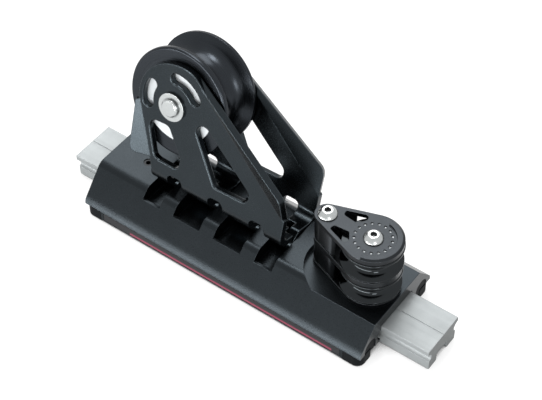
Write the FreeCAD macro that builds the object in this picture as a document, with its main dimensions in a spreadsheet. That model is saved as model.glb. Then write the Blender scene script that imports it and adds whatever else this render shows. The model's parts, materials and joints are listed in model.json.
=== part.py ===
"""Mainsheet traveller car on a stub of its track.

Frame: X along the track, Y across it, +Z up, origin on the track's underside below the
middle of the car. The head's own pieces are drawn in the head's frame: origin on the hinge
axis, X along it, Y from cheek to cheek, Z up the head, which leans over at rest.
Lengths are in millimetres and angles in degrees.
"""
import FreeCAD, Part
import math
import os
import re

import Sketcher
from FreeCAD import Placement, Rotation, Vector

SIZES = {
    # track
    "track_left": 108.0,
    "track_right": 114.0,
    "track_width": 27.0,
    "track_height": 15.0,
    "foot_width": 24.0,
    "channel_width": 10.0,
    "channel_depth": 5.0,
    "channel_round": 1.5,
    "top_line_width": 0.8,
    "top_line_depth": 0.25,
    "bolt_pitch": 100.0,
    "bolt_hole_radius": 3.3,
    "bolt_head_radius": 6.5,
    # bearing balls and their loops
    "ball_radius": 3.0,
    "ball_rise": 8.8,
    "ball_gauge": 27.2,
    "return_gauge": 45.8,
    "race_clearance": 0.05,
    "track_clearance": 0.3,
    "tunnel_clearance": 0.25,
    "hollow_radius": 4.8,
    "guide_clearance": 0.1,
    # car body
    "car_length": 174.0,
    "car_width": 63.2,
    "car_height": 26.5,
    "car_base": 0.5,
    "side_height": 9.7,
    "top_width": 34.0,
    "top_round": 6.0,
    "side_round": 5.0,
    "side_gap": 0.4,
    "roof_gap": 0.6,
    "leg_base": 4.4,
    # slots for the head's fingers, and the teeth between them
    "slots_middle": -14.3,
    "slots_length": 82.0,
    "slot_floor": 21.3,
    "slot_well_floor": 17.8,
    "slot_well_width": 40.2,
    "tooth_count": 3,
    "tooth_pitch": 25.7,
    "tooth_width": 8.6,
    "finger_gap": 0.4,
    # hinge pin
    "hinge_rise": 22.0,
    "pin_radius": 2.5,
    "pin_left": 63.5,
    "pin_right": 34.0,
    "running_clearance": 0.05,
    "eye_wall": 1.9,
    "eye_clearance": 0.4,
    "keeper_radius": 2.5,
    "keeper_length": 7.5,
    "keeper_inset": 0.4,
    "keeper_setback": 2.9,
    "keeper_offset": 2.6,
    "keeper_hex": 2.5,
    # milled recess for the control block
    "recess_floor": 22.9,
    "recess_centre": 57.1,
    "recess_radius": 21.4,
    # end caps
    "cap_length": 10.5,
    "cap_top": 6.8,
    "cap_inner_width": 43.2,
    "cap_gap": 0.3,
    "cap_corner": 4.5,
    # label strips
    "label_bottom": 1.1,
    "label_top": 7.0,
    "label_seat": 0.4,
    "label_thickness": 0.3,
    "label_end_gap": 1.5,
    # head
    "head_lean": 15.3,
    "cheek_spacing": 27.6,
    "cheek_thickness": 3.5,
    "axle_left": 47.2,
    "axle_rise": 53.5,
    "cheek_round": 23.4,
    "cheek_round_shift": 2.1,
    "left_rim_angle": 192.0,
    "right_fold_angle": 68.0,
    "left_fold_out": 2.0,
    "left_fold_rise": 18.4,
    "right_fold_rise": 22.6,
    "wing_angle": 24.0,
    "left_wing_start": 23.6,
    "left_wing_drop": 6.5,
    "left_wing_out": 14.4,
    "left_wing_rise": 18.1,
    "left_wing_round": 4.0,
    "right_wing_in": 1.1,
    "right_wing_rise": 36.2,
    "right_wing_round": 7.0,
    "curl_rise": 13.0,
    "curl_radius": 5.0,
    "opening_rise": 14.0,
    "opening_round": 3.0,
    "knuckle_half": 5.0,
    "web_top": 0.5,
    "web_round": 1.8,
    "web_reach": 6.5,
    "web_back_angle": 30.0,
    "web_front_angle": 24.0,
    "rim_chamfer": 0.5,
    "left_slot_from": 156.0,
    "left_slot_to": 195.0,
    "right_slot_from": 37.0,
    "right_slot_to": 91.0,
    "arc_slot_width": 6.0,
    "arc_slot_radius": 15.5,
    # main sheave and its axle
    "axle_radius": 4.0,
    "axle_head_radius": 4.7,
    "axle_head_height": 2.0,
    "axle_head_chamfer": 0.7,
    "axle_thread": 5.6,
    "washer_radius": 7.6,
    "washer_thickness": 1.5,
    "nut_flats": 13.0,
    "nut_height": 4.2,
    "sheave_radius": 29.5,
    "sheave_gap": 0.6,
    "rim_round": 1.2,
    "groove_radius": 20.0,
    "groove_mouth": 21.2,
    "groove_bed": 13.0,
    "groove_round": 9.0,
    "bush_radius": 8.0,
    "roller_radius": 2.0,
    "roller_length": 20.0,
    "roller_count": 13,
    "ring_outer": 21.3,
    "ring_inner": 11.0,
    "ring_thickness": 1.5,
    "ring_inset": 0.2,
    # control block
    "block_axis": 70.9,
    "tail_axis": 44.5,
    "tail_radius": 6.4,
    "plate_radius": 15.2,
    "base_plate": 2.3,
    "middle_plate": 3.1,
    "top_plate": 2.5,
    "plate_gap": 0.35,
    "control_width": 12.5,
    "control_radius": 15.6,
    "control_groove_radius": 10.8,
    "control_mouth": 10.3,
    "control_bed": 5.6,
    "control_groove_round": 2.6,
    "control_rim_round": 0.8,
    "tube_radius": 4.5,
    "control_ball_radius": 1.6,
    "control_ball_count": 11,
    "rim_inner": 11.3,
    "rim_rise": 0.9,
    "rim_flat": 14.0,
    "rim_start_angle": 82.0,
    "dimple_circle": 9.3,
    "dimple_radius": 0.75,
    "dimple_depth": 0.8,
    "dimple_count": 17,
    "screw_radius": 2.5,
    "screw_hole_clearance": 0.1,
    "screw_head_radius": 5.0,
    "screw_head_height": 2.9,
    "screw_head_lip": 0.5,
    "screw_head_top": 2.6,
    "screw_hex": 3.2,
    "screw_hex_depth": 1.7,
    "screw_depth": 6.6,
    "tail_post_radius": 6.1,
}

# Corners of the windows in each cheek, from the axle: along the car, up the head, and round.
LOWER_WINDOW = [(-13.6, -12.9, 4.0), (-0.9, -12.2, 3.5), (8.6, -27.4, 4.0),
                (8.2, -34.3, 3.0), (-6.7, -34.0, 4.5)]
LONG_WINDOW = [(4.6, 10.5, 4.2), (30.8, -32.9, 3.0), (51.2, -32.3, 3.8), (51.3, -25.9, 4.0)]

# Corners of the slots in the control block's top cheek, from the sheaves' axis.
CHEEK_SLOT = [(-20.2, 7.1, 1.2), (-6.0, 12.1, 2.0), (-11.6, 3.2, 2.0), (-19.8, 4.1, 1.6)]

doc = FreeCAD.newDocument("traveller_car")
sheet = doc.addObject("Spreadsheet::Sheet", "Sizes")


def add_size(name, number):
    """Writes one driving size into the sheet and gives its cell an alias."""
    row = len(cells) + 1
    sheet.set(f"A{row}", name)
    sheet.set(f"B{row}", str(number))
    sheet.setAlias(f"B{row}", name)
    cells.append(name)


def add_corners(name, corners):
    """Writes an outline's corners into the sheet and returns them as names of sizes."""
    named = []
    for number, corner in enumerate(corners):
        words = [f"{name}_{key}_{number}" for key in ("along", "rise", "round")]
        for word, size in zip(words, corner):
            add_size(word, size)
        named.append(words)
    return named


cells = []
for size_name, size in SIZES.items():
    add_size(size_name, size)
lower_window = add_corners("lower_window", LOWER_WINDOW)
long_window = add_corners("long_window", LONG_WINDOW)
cheek_slot = add_corners("cheek_slot", CHEEK_SLOT)
doc.recompute()


def ref(text):
    """Turns the names of sizes in a formula into references to the sheet."""
    return re.sub(r"[a-z]\w*", lambda word: "Sizes." + word.group() if word.group() in cells
                  else word.group(), str(text))


def value(text):
    """The number that a formula of sizes gives now."""
    result = sheet.evalExpression(ref(text))
    return float(getattr(result, "Value", result))


# Sizes worked out from the driving ones.
BALL_Y = "ball_gauge / 2"
RETURN_Y = "return_gauge / 2"
TURN_Y = "(ball_gauge + return_gauge) / 4"
TURN_RADIUS = "(return_gauge - ball_gauge) / 4"
TURN_START = "(car_length / 2 - cap_length)"
RACE_RADIUS = "(ball_radius + race_clearance)"
TRACK_GROOVE = "(ball_radius + track_clearance)"
TUNNEL_RADIUS = "(ball_radius + tunnel_clearance)"
LEG_FACE = "(track_width / 2 + side_gap)"
ROOF = "(track_height + roof_gap)"
SLOTS_LEFT = "(slots_middle - slots_length / 2)"
SLOTS_RIGHT = "(slots_middle + slots_length / 2)"
EYE_RADIUS = "(pin_radius + eye_wall)"
EYE_GROOVE = "(pin_radius + eye_wall + eye_clearance)"
CHEEK_LEFT = f"({SLOTS_LEFT} + finger_gap)"
CHEEK_RIGHT = f"({SLOTS_RIGHT} - finger_gap)"
CHEEK_IN = "(cheek_spacing / 2)"
CHEEK_OUT = "(cheek_spacing / 2 + cheek_thickness)"
SHEAVE_HALF = "(cheek_spacing / 2 - sheave_gap)"
RING_SEAT = f"({SHEAVE_HALF} - ring_inset - ring_thickness)"
ROLLER_CIRCLE = "(bush_radius + running_clearance + roller_radius)"
SHEAVE_BORE = "(bush_radius + 2 * running_clearance + 2 * roller_radius)"
LOWER_SHEAVE_Z = "(recess_floor + base_plate + plate_gap)"
MIDDLE_PLATE_Z = "(recess_floor + base_plate + 2 * plate_gap + control_width)"
UPPER_SHEAVE_Z = f"({MIDDLE_PLATE_Z} + middle_plate + plate_gap)"
TOP_PLATE_Z = f"({UPPER_SHEAVE_Z} + control_width + plate_gap)"
BLOCK_TOP = f"({TOP_PLATE_Z} + top_plate)"
BALL_CIRCLE = "(tube_radius + running_clearance + control_ball_radius)"
CONTROL_BORE = "(tube_radius + 2 * running_clearance + 2 * control_ball_radius)"
SCREW_HOLE = "(screw_radius + screw_hole_clearance)"

HEAD_PLACE = "placement(vector(0; 0; hinge_rise); rotation(vector(-1; 0; 0); head_lean))"
AXLE_PLACE = HEAD_PLACE + (" * placement(vector(-axle_left; 0; axle_rise);"
                           " rotation(vector(1; 0; 0); 90))")

nodes = []


def keep(thing, label):
    """Gives a finished sub-part its own label and puts it on the list of nodes."""
    thing.Label = label
    nodes.append(thing)
    return thing


def new_body(label, place=None):
    body = doc.addObject("PartDesign::Body", "body_" + label)
    if place:
        body.setExpression("Placement", ref(place))
    return keep(body, label)


def new_sketch(body, plane, offset="0"):
    """A sketch on one of the body's own origin planes, moved along the plane's normal."""
    sketch = body.newObject("Sketcher::SketchObject", "sketch")
    origin_plane = [item for item in body.Origin.OriginFeatures if item.Role == plane][0]
    sketch.AttachmentSupport = [(origin_plane, "")]
    sketch.MapMode = "FlatFace"
    sketch.setExpression("AttachmentOffset.Base.z", ref(offset))
    return sketch


def bind(sketch, constraints):
    """Adds pairs of a constraint and the formula that drives it, or None."""
    numbers = sketch.addConstraint([pair[0] for pair in constraints])
    for number, pair in zip(numbers, constraints):
        if pair[1] is not None:
            sketch.setExpression(f"Constraints[{number}]", ref(pair[1]))


def at_spot(geometry, position, x, y):
    """Constraints that hold one point of the geometry at a spot of the sketch."""
    return [(Sketcher.Constraint("DistanceX", -1, 1, geometry, position, value(x)), x),
            (Sketcher.Constraint("DistanceY", -1, 1, geometry, position, value(y)), y)]


def circle(sketch, x, y, radius):
    shape = Part.Circle(Vector(value(x), value(y), 0), Vector(0, 0, 1), value(radius))
    number = sketch.addGeometry(shape, False)
    pairs = at_spot(number, 3, x, y)
    pairs.append((Sketcher.Constraint("Radius", number, value(radius)), radius))
    bind(sketch, pairs)


def arc_between(centre, start, end, turn):
    """An arc about centre from start to end; turn is 1 for anticlockwise, -1 for clockwise."""
    first, last = (start, end) if turn > 0 else (end, start)
    whole = Part.Circle(centre, Vector(0, 0, 1), (start - centre).Length)
    from_angle = math.atan2(first.y - centre.y, first.x - centre.x)
    to_angle = math.atan2(last.y - centre.y, last.x - centre.x)
    if to_angle <= from_angle:
        to_angle += 2 * math.pi
    return Part.ArcOfCircle(whole, from_angle, to_angle)


def corner(x, y, rounding=None, arc=None):
    """A corner of an outline. arc is (centre x, centre y, turn) of the edge after it."""
    return {"x": x, "y": y, "round": rounding, "arc": arc}


def cut_back(spot, neighbour_a, neighbour_b, radius):
    """Where a rounding of a straight-sided corner starts, ends and has its centre."""
    to_a = (neighbour_a - spot).normalize()
    to_b = (neighbour_b - spot).normalize()
    half = to_a.getAngle(to_b) / 2
    start = spot + to_a * (radius / math.tan(half))
    end = spot + to_b * (radius / math.tan(half))
    centre = spot + (to_a + to_b).normalize() * (radius / math.sin(half))
    return start, end, centre


def outline(sketch, corners):
    """One closed outline of straight edges, arcs and rounded corners, all driven by sizes."""
    count = len(corners)
    spots = [Vector(value(item["x"]), value(item["y"]), 0) for item in corners]
    leave = list(spots)
    arrive = list(spots)
    roundings = {}
    for index, item in enumerate(corners):
        if item["round"] is not None:
            start, end, centre = cut_back(spots[index], spots[index - 1],
                                          spots[(index + 1) % count], value(item["round"]))
            arrive[index] = start
            leave[index] = end
            turn = 1 if (end - centre).cross(start - centre).z < 0 else -1
            roundings[index] = (centre, start, end, turn)
    edges = []
    centres = []
    for index, item in enumerate(corners):
        start = leave[index]
        end = arrive[(index + 1) % count]
        if item["arc"]:
            centre_x, centre_y, turn = item["arc"]
            middle = Vector(value(centre_x), value(centre_y), 0)
            number = sketch.addGeometry(arc_between(middle, start, end, turn), False)
            ends = (1, 2) if turn > 0 else (2, 1)
            across, along = at_spot(number, 3, centre_x, centre_y)
            chord = end - start
            centres.append(along if abs(chord.x) > abs(chord.y) else across)
        else:
            number = sketch.addGeometry(Part.LineSegment(start, end), False)
            ends = (1, 2)
        edges.append((number, ends[0], ends[1]))
    pairs = []
    for index, item in enumerate(corners):
        number, first, _ = edges[index]
        before, _, last = edges[index - 1]
        if index not in roundings:
            pairs.append((Sketcher.Constraint("Coincident", before, last, number, first), None))
            pairs += at_spot(number, first, item["x"], item["y"])
            continue
        centre, start, end, turn = roundings[index]
        bend = sketch.addGeometry(arc_between(centre, start, end, turn), False)
        ends = (1, 2) if turn > 0 else (2, 1)
        mark = sketch.addGeometry(Part.Point(spots[index]), True)
        pairs.append((Sketcher.Constraint("Tangent", before, last, bend, ends[0]), None))
        pairs.append((Sketcher.Constraint("Tangent", bend, ends[1], number, first), None))
        pairs.append((Sketcher.Constraint("Radius", bend, value(item["round"])), item["round"]))
        pairs += at_spot(mark, 1, item["x"], item["y"])
        pairs.append((Sketcher.Constraint("PointOnObject", mark, 1, before), None))
        pairs.append((Sketcher.Constraint("PointOnObject", mark, 1, number), None))
    bind(sketch, pairs + centres)


def rectangle(sketch, left, right, bottom, top):
    outline(sketch, [corner(left, bottom), corner(right, bottom), corner(right, top),
                     corner(left, top)])


def axis_line(sketch, start_x, start_y, end_x, end_y):
    """A construction line that a turned shape turns about."""
    line = Part.LineSegment(Vector(value(start_x), value(start_y), 0),
                            Vector(value(end_x), value(end_y), 0))
    number = sketch.addGeometry(line, True)
    bind(sketch, at_spot(number, 1, start_x, start_y) + at_spot(number, 2, end_x, end_y))


def feature(body, kind, sketch, length=None, backwards=False, symmetric=False, through=False):
    """A pad or pocket from a sketch."""
    made = body.newObject("PartDesign::" + kind, kind.lower())
    made.Profile = (sketch, [""])
    if through:
        made.Type = "ThroughAll"
    if symmetric:
        made.SideType = "Symmetric"
    made.Reversed = backwards
    if length is not None:
        made.setExpression("Length", ref(length))
    sketch.Visibility = False
    return made


def pad(body, sketch, length, **options):
    return feature(body, "Pad", sketch, length, **options)


def pocket(body, sketch, length=None, **options):
    return feature(body, "Pocket", sketch, length, through=length is None, **options)


def turned(body, kind, sketch, angle=360.0):
    """A revolution or groove about the sketch's own construction line."""
    made = body.newObject("PartDesign::" + kind, kind.lower())
    made.Profile = (sketch, [""])
    made.ReferenceAxis = (sketch, ["Axis0"])
    made.Angle = angle
    return made


def mirrored(body, plane):
    """Adds the mirror image of the whole body made so far."""
    made = body.newObject("PartDesign::Mirrored", "mirrored")
    made.TransformMode = "Whole shape"
    origin_plane = [item for item in body.Origin.OriginFeatures if item.Role == plane][0]
    made.MirrorPlane = (origin_plane, [""])
    body.Tip = made
    return made


def cylinder(name, radius, height, place):
    """A plain cylinder along its own Z, put in place by a formula."""
    made = doc.addObject("Part::Cylinder", name)
    made.setExpression("Radius", ref(radius))
    made.setExpression("Height", ref(height))
    made.setExpression("Placement", ref(place))
    return made


def tube(label, outer, inner, height, place):
    """A straight tube along its own Z, as one cylinder cut by another."""
    made = doc.addObject("Part::Cut", "tube_" + label)
    made.Base = cylinder("outside", outer, height, place)
    made.Tool = cylinder("bore", inner, height, place)
    return keep(made, label)


def moved(x="0", y="0", z="0"):
    return f"placement(vector({x}; {y}; {z}); rotation(vector(0; 0; 1); 0))"


def along_axle(start):
    """A place on the head's axle, its Z from the far cheek to the near one."""
    return f"{AXLE_PLACE} * {moved(z=start)}"


def make_track():
    body = new_body("track")
    section = new_sketch(body, "YZ_Plane", "-track_left")
    groove_reach = f"sqrt({TRACK_GROOVE}^2 - ({BALL_Y} - foot_width / 2)^2)"
    lip_reach = f"sqrt({TRACK_GROOVE}^2 - ({BALL_Y} - track_width / 2)^2)"
    outline(section, [
        corner("channel_width / 2", "0"),
        corner("foot_width / 2", "0", "0.6"),
        corner("foot_width / 2", f"ball_rise - {groove_reach}",
               arc=(BALL_Y, "ball_rise", -1)),
        corner("track_width / 2", f"ball_rise + {lip_reach}"),
        corner("track_width / 2", "track_height", "0.4"),
        corner("top_line_width / 2", "track_height"),
        corner("top_line_width / 2", "track_height - top_line_depth"),
        corner("0", "track_height - top_line_depth"),
        corner("0", "channel_depth"),
        corner("channel_width / 2", "channel_depth", "channel_round"),
    ])
    pad(body, section, "track_left + track_right")
    mirrored(body, "XZ_Plane")
    sink = "(bolt_head_radius - bolt_hole_radius)"
    for side in ("-", ""):
        hole_x = f"({side}bolt_pitch / 2)"
        profile = new_sketch(body, "XZ_Plane")
        outline(profile, [
            corner(hole_x, "-1"),
            corner(f"{hole_x} + bolt_hole_radius", "-1"),
            corner(f"{hole_x} + bolt_hole_radius", f"track_height - {sink}"),
            corner(f"{hole_x} + bolt_head_radius", "track_height"),
            corner(f"{hole_x} + bolt_head_radius", "track_height + 1"),
            corner(hole_x, "track_height + 1"),
        ])
        axis_line(profile, hole_x, "-1", hole_x, "track_height + 1")
        turned(body, "Groove", profile)


def arch(sketch, radius, base, side=1):
    """A round-topped section about the return row of the balls, standing on base."""
    near_edge = f"{side} * ({RETURN_Y} - {radius})"
    far_edge = f"{side} * ({RETURN_Y} + {radius})"
    outline(sketch, [
        corner(near_edge, base),
        corner(far_edge, base),
        corner(far_edge, "ball_rise",
               arc=(f"{side} * {RETURN_Y}", "ball_rise", side)),
        corner(near_edge, "ball_rise"),
    ])


def ball_turn(body, end, side=1):
    """The half ring in which the balls turn back, cut at one end of a loop."""
    section = new_sketch(body, "YZ_Plane", f"{end} * {TURN_START}")
    circle(section, f"{side} * {RETURN_Y}", "ball_rise", TUNNEL_RADIUS)
    low, high = ("0", "track_height")
    if end * side > 0:
        low, high = high, low
    axis_line(section, f"{side} * {TURN_Y}", low, f"{side} * {TURN_Y}", high)
    turned(body, "Groove", section, 180.0)


def make_car_body():
    body = new_body("car_body")
    section = new_sketch(body, "YZ_Plane")
    race_reach = f"sqrt({RACE_RADIUS}^2 - ({LEG_FACE} - {BALL_Y})^2)"
    slope = "((car_height - side_height) / ((car_width - top_width) / 2))"
    outline(section, [
        corner("0", ROOF),
        corner(LEG_FACE, ROOF),
        corner(LEG_FACE, f"ball_rise + {race_reach}",
               arc=(BALL_Y, "ball_rise", -1)),
        corner(LEG_FACE, f"ball_rise - {race_reach}"),
        corner(LEG_FACE, "leg_base"),
        corner(f"{RETURN_Y} - hollow_radius", "leg_base"),
        corner(f"{RETURN_Y} - hollow_radius", "ball_rise",
               arc=(RETURN_Y, "ball_rise", -1)),
        corner(f"{RETURN_Y} + hollow_radius", "ball_rise"),
        corner(f"{RETURN_Y} + hollow_radius", "car_base"),
        corner("car_width / 2", "car_base", "0.6"),
        corner("car_width / 2", "side_height", "side_round"),
        corner("top_width / 2", "car_height", "top_round"),
        corner("0", "car_height"),
    ])
    pad(body, section, "car_length", symmetric=True)

    caps = new_sketch(body, "XY_Plane")
    for end in ("-", ""):
        inner = f"{end}{TURN_START}"
        outer = f"{end}(car_length / 2 + 1)"
        low, high = (outer, inner) if end else (inner, outer)
        rectangle(caps, low, high, f"{RETURN_Y}", "car_width / 2 + 1")
    pocket(body, caps, "cap_top + cap_gap", backwards=True)

    label = new_sketch(body, "XZ_Plane", "-car_width / 2")
    rectangle(label, f"label_end_gap - {TURN_START}", f"{TURN_START} - label_end_gap",
              "label_bottom", "label_top")
    pocket(body, label, "label_seat", backwards=True)

    for end in (-1, 1):
        ball_turn(body, end)
    mirrored(body, "XZ_Plane")

    slots = new_sketch(body, "XZ_Plane")
    for left, right in slot_edges():
        rectangle(slots, left, right, "slot_floor", "car_height + 1")
    pocket(body, slots, symmetric=True)

    wells = new_sketch(body, "XZ_Plane")
    for left, right in slot_edges():
        rectangle(wells, left, right, "slot_well_floor", "car_height + 1")
    pocket(body, wells, "slot_well_width", symmetric=True)

    knuckles = new_sketch(body, "XZ_Plane")
    axis_line(knuckles, "-car_length / 2", "hinge_rise", "car_length / 2", "hinge_rise")
    for left, right in slot_edges():
        rectangle(knuckles, left, right, "hinge_rise", f"hinge_rise + {EYE_GROOVE}")
    turned(body, "Groove", knuckles)

    recess = new_sketch(body, "XY_Plane", "recess_floor")
    outline(recess, [
        corner("recess_centre", "recess_radius",
               arc=("recess_centre", "0", 1)),
        corner("recess_centre", "-recess_radius"),
        corner("car_length / 2 + 1", "-recess_radius"),
        corner("car_length / 2 + 1", "recess_radius"),
    ])
    pocket(body, recess, "car_height", backwards=True)

    bore = new_sketch(body, "YZ_Plane", "-car_length / 2")
    circle(bore, "0", "hinge_rise", "pin_radius + running_clearance")
    pocket(body, bore, "car_length / 2 + pin_right + finger_gap", backwards=True)

    holes = new_sketch(body, "XY_Plane", "car_height")
    circle(holes, "-(pin_left + keeper_setback)", "-keeper_offset", "keeper_radius")
    pocket(body, holes, "keeper_inset + keeper_length")

    screws = new_sketch(body, "XY_Plane", "recess_floor")
    for place in ("block_axis", "tail_axis"):
        circle(screws, place, "0", SCREW_HOLE)
    pocket(body, screws, "screw_depth + screw_hole_clearance")


def tooth_edges():
    """The left and right side of each tooth between the slots."""
    edges = []
    for number in range(int(value("tooth_count"))):
        middle = f"(slots_middle + ({number} - (tooth_count - 1) / 2) * tooth_pitch)"
        edges.append((f"({middle} - tooth_width / 2)", f"({middle} + tooth_width / 2)"))
    return edges


def slot_edges():
    """The left and right side of each slot."""
    teeth = tooth_edges()
    lefts = [SLOTS_LEFT] + [tooth[1] for tooth in teeth]
    rights = [tooth[0] for tooth in teeth] + [SLOTS_RIGHT]
    return list(zip(lefts, rights))


def make_end_cap(label, side, end):
    """One plastic cap: a foot at the car's corner and a plug that closes the ball loop."""
    body = new_body(label)
    inner = f"{end} * ({TURN_START} + cap_gap / 2)"
    outer = f"{end} * car_length / 2"
    foot = new_sketch(body, "XY_Plane", "car_base")
    outline(foot, [
        corner(inner, f"{side} * cap_inner_width / 2"),
        corner(outer, f"{side} * cap_inner_width / 2", "1.0"),
        corner(outer, f"{side} * car_width / 2", "cap_corner"),
        corner(inner, f"{side} * car_width / 2"),
    ])
    pad(body, foot, "cap_top - car_base")
    plug = new_sketch(body, "YZ_Plane", inner)
    arch(plug, "(hollow_radius - guide_clearance)", "leg_base", side)
    pad(body, plug, "cap_length - 1.5 * cap_gap", backwards=end < 0)
    ball_turn(body, end, side)


def make_ball_guide(label, side):
    """The plastic bar in the car's hollow, with the tunnel for the returning balls."""
    body = new_body(label)
    section = new_sketch(body, "YZ_Plane")
    arch(section, "(hollow_radius - guide_clearance)", "leg_base", side)
    circle(section, f"{side} * {RETURN_Y}", "ball_rise", TUNNEL_RADIUS)
    pad(body, section, f"2 * {TURN_START} - cap_gap", symmetric=True)


def compound(label, parts):
    made = doc.addObject("Part::Compound", "group_" + label)
    made.Links = parts
    return keep(made, label)


def make_bearing_balls(label, side):
    """The balls of one loop, evenly spread: loaded row, end turns and return row."""
    straight = 2 * value(TURN_START)
    radius = value(TURN_RADIUS)
    turn = math.pi * radius
    loop = 2 * (straight + turn)
    ball = value("ball_radius")
    count = int(loop / (2 * ball + value("race_clearance")))
    balls = []
    for number in range(count):
        along = loop * number / count
        if along < straight:
            x, y = along - straight / 2, value(BALL_Y)
        elif along < straight + turn:
            angle = (along - straight) / radius
            x = straight / 2 + radius * math.sin(angle)
            y = value(TURN_Y) - radius * math.cos(angle)
        elif along < 2 * straight + turn:
            x, y = straight / 2 - (along - straight - turn), value(RETURN_Y)
        else:
            angle = (along - 2 * straight - turn) / radius
            x = -straight / 2 - radius * math.sin(angle)
            y = value(TURN_Y) + radius * math.cos(angle)
        made = doc.addObject("Part::Sphere", "ball")
        made.setExpression("Radius", ref("ball_radius"))
        made.Placement = Placement(Vector(x, side * y, value("ball_rise")), Rotation())
        balls.append(made)
    compound(label, balls)


def make_label_strip(label, side):
    """The bare strip that lies in the shallow seat along the car's lower side."""
    strip = doc.addObject("Part::Box", "strip")
    half_length = f"({TURN_START} - label_end_gap - label_thickness)"
    strip.setExpression("Length", ref(f"2 * {half_length}"))
    strip.setExpression("Width", ref("label_thickness"))
    strip.setExpression("Height", ref("label_top - label_bottom - 2 * label_thickness"))
    y = "car_width / 2 - label_seat"
    if side < 0:
        y = f"-({y} + label_thickness)"
    strip.setExpression("Placement", ref(moved(f"-{half_length}", y,
                                               "label_bottom + label_thickness")))
    keep(strip, label)


def hexagon(sketch, flats, x="0", y="0"):
    """A regular hexagon of a given width across its flats."""
    corners = []
    for number in range(6):
        reach = f"({flats}) / 2 / cos(30)"
        corners.append(corner(f"{x} + {reach} * cos({60 * number})",
                              f"{y} + {reach} * sin({60 * number})"))
    outline(sketch, corners)


def make_hinge_pin():
    place = ("placement(vector(-pin_left; 0; hinge_rise);"
             " rotation(vector(0; 1; 0); 90))")
    keep(cylinder("pin", "pin_radius", "pin_left + pin_right", place), "hinge_pin")


def make_keeper_screw():
    """The set screw that closes the bore behind the hinge pin."""
    body = new_body("pin_keeper_screw", moved("-(pin_left + keeper_setback)", "-keeper_offset",
                                              "car_height - keeper_inset - keeper_length"))
    section = new_sketch(body, "XY_Plane")
    circle(section, "0", "0", "keeper_radius")
    pad(body, section, "keeper_length")
    socket = new_sketch(body, "XY_Plane", "keeper_length")
    hexagon(socket, "keeper_hex")
    pocket(body, socket, "keeper_hex")


AXLE_X = "(-axle_left)"
CHEEK_ROUND_X = "(cheek_round_shift - axle_left)"
LEFT_FOLD_TOP = (f"({CHEEK_ROUND_X} + cheek_round * cos(left_rim_angle))",
                 "(axle_rise + cheek_round * sin(left_rim_angle))")
LEFT_FOLD_END = (f"({CHEEK_LEFT} - left_fold_out)", "left_fold_rise")
RIGHT_FOLD_TOP = (f"({CHEEK_ROUND_X} + cheek_round * cos(right_fold_angle))",
                  "(axle_rise + cheek_round * sin(right_fold_angle))")
RIGHT_FOLD_END = (CHEEK_RIGHT, "right_fold_rise")


def window(sketch, corners):
    """A window of a cheek, from its named corners about the axle."""
    outline(sketch, [corner(f"{AXLE_X} + {along}", f"axle_rise + {rise}", rounding)
                     for along, rise, rounding in corners])


def arc_slot(sketch, first, last):
    """A curved slot about the axle, from the first angle to the last."""
    outer = "(arc_slot_radius + arc_slot_width / 2)"
    inner = "(arc_slot_radius - arc_slot_width / 2)"
    middle = "arc_slot_radius"

    def spot(radius, angle):
        return f"{AXLE_X} + {radius} * cos({angle})", f"axle_rise + {radius} * sin({angle})"

    def end_arc(angle):
        return spot(middle, angle) + (1,)

    outline(sketch, [
        corner(*spot(outer, first), arc=(AXLE_X, "axle_rise", 1)),
        corner(*spot(outer, last), arc=end_arc(last)),
        corner(*spot(inner, last), arc=(AXLE_X, "axle_rise", -1)),
        corner(*spot(inner, first), arc=end_arc(first)),
    ])


def outer_edges(shape, y):
    """The edges of a cheek that lie on the plane of its outer face."""
    return {tuple(round(number, 3) for number in edge.CenterOfMass): index
            for index, edge in enumerate(shape.Edges, 1)
            if all(abs(vertex.Y - y) < 0.001 for vertex in edge.Vertexes)
            and abs(edge.CenterOfMass.y - y) < 0.001}


def make_wing(body, side, fold_top, fold_end, tips, angle):
    """A wing of a cheek, folded outward about a line on the cheek's inner face."""
    sketch = new_sketch(body, "XZ_Plane")
    face = -side * value(CHEEK_IN)
    top = Vector(value(fold_top[0]), value(fold_top[1]), face)
    end = Vector(value(fold_end[0]), value(fold_end[1]), face)
    turn = Rotation(end - top, -side * angle)
    fold = Placement(Vector(), turn, top)
    sketch.setExpression("AttachmentOffset.Base.z", None)
    sketch.AttachmentOffset = fold * Placement(Vector(0, 0, face), Rotation())
    tip_corners = [corner(*tip) for tip in tips]
    outline(sketch, [corner(*fold_top)] + tip_corners + [corner(*fold_end)])
    pad(body, sketch, "cheek_thickness", backwards=side > 0)


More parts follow.
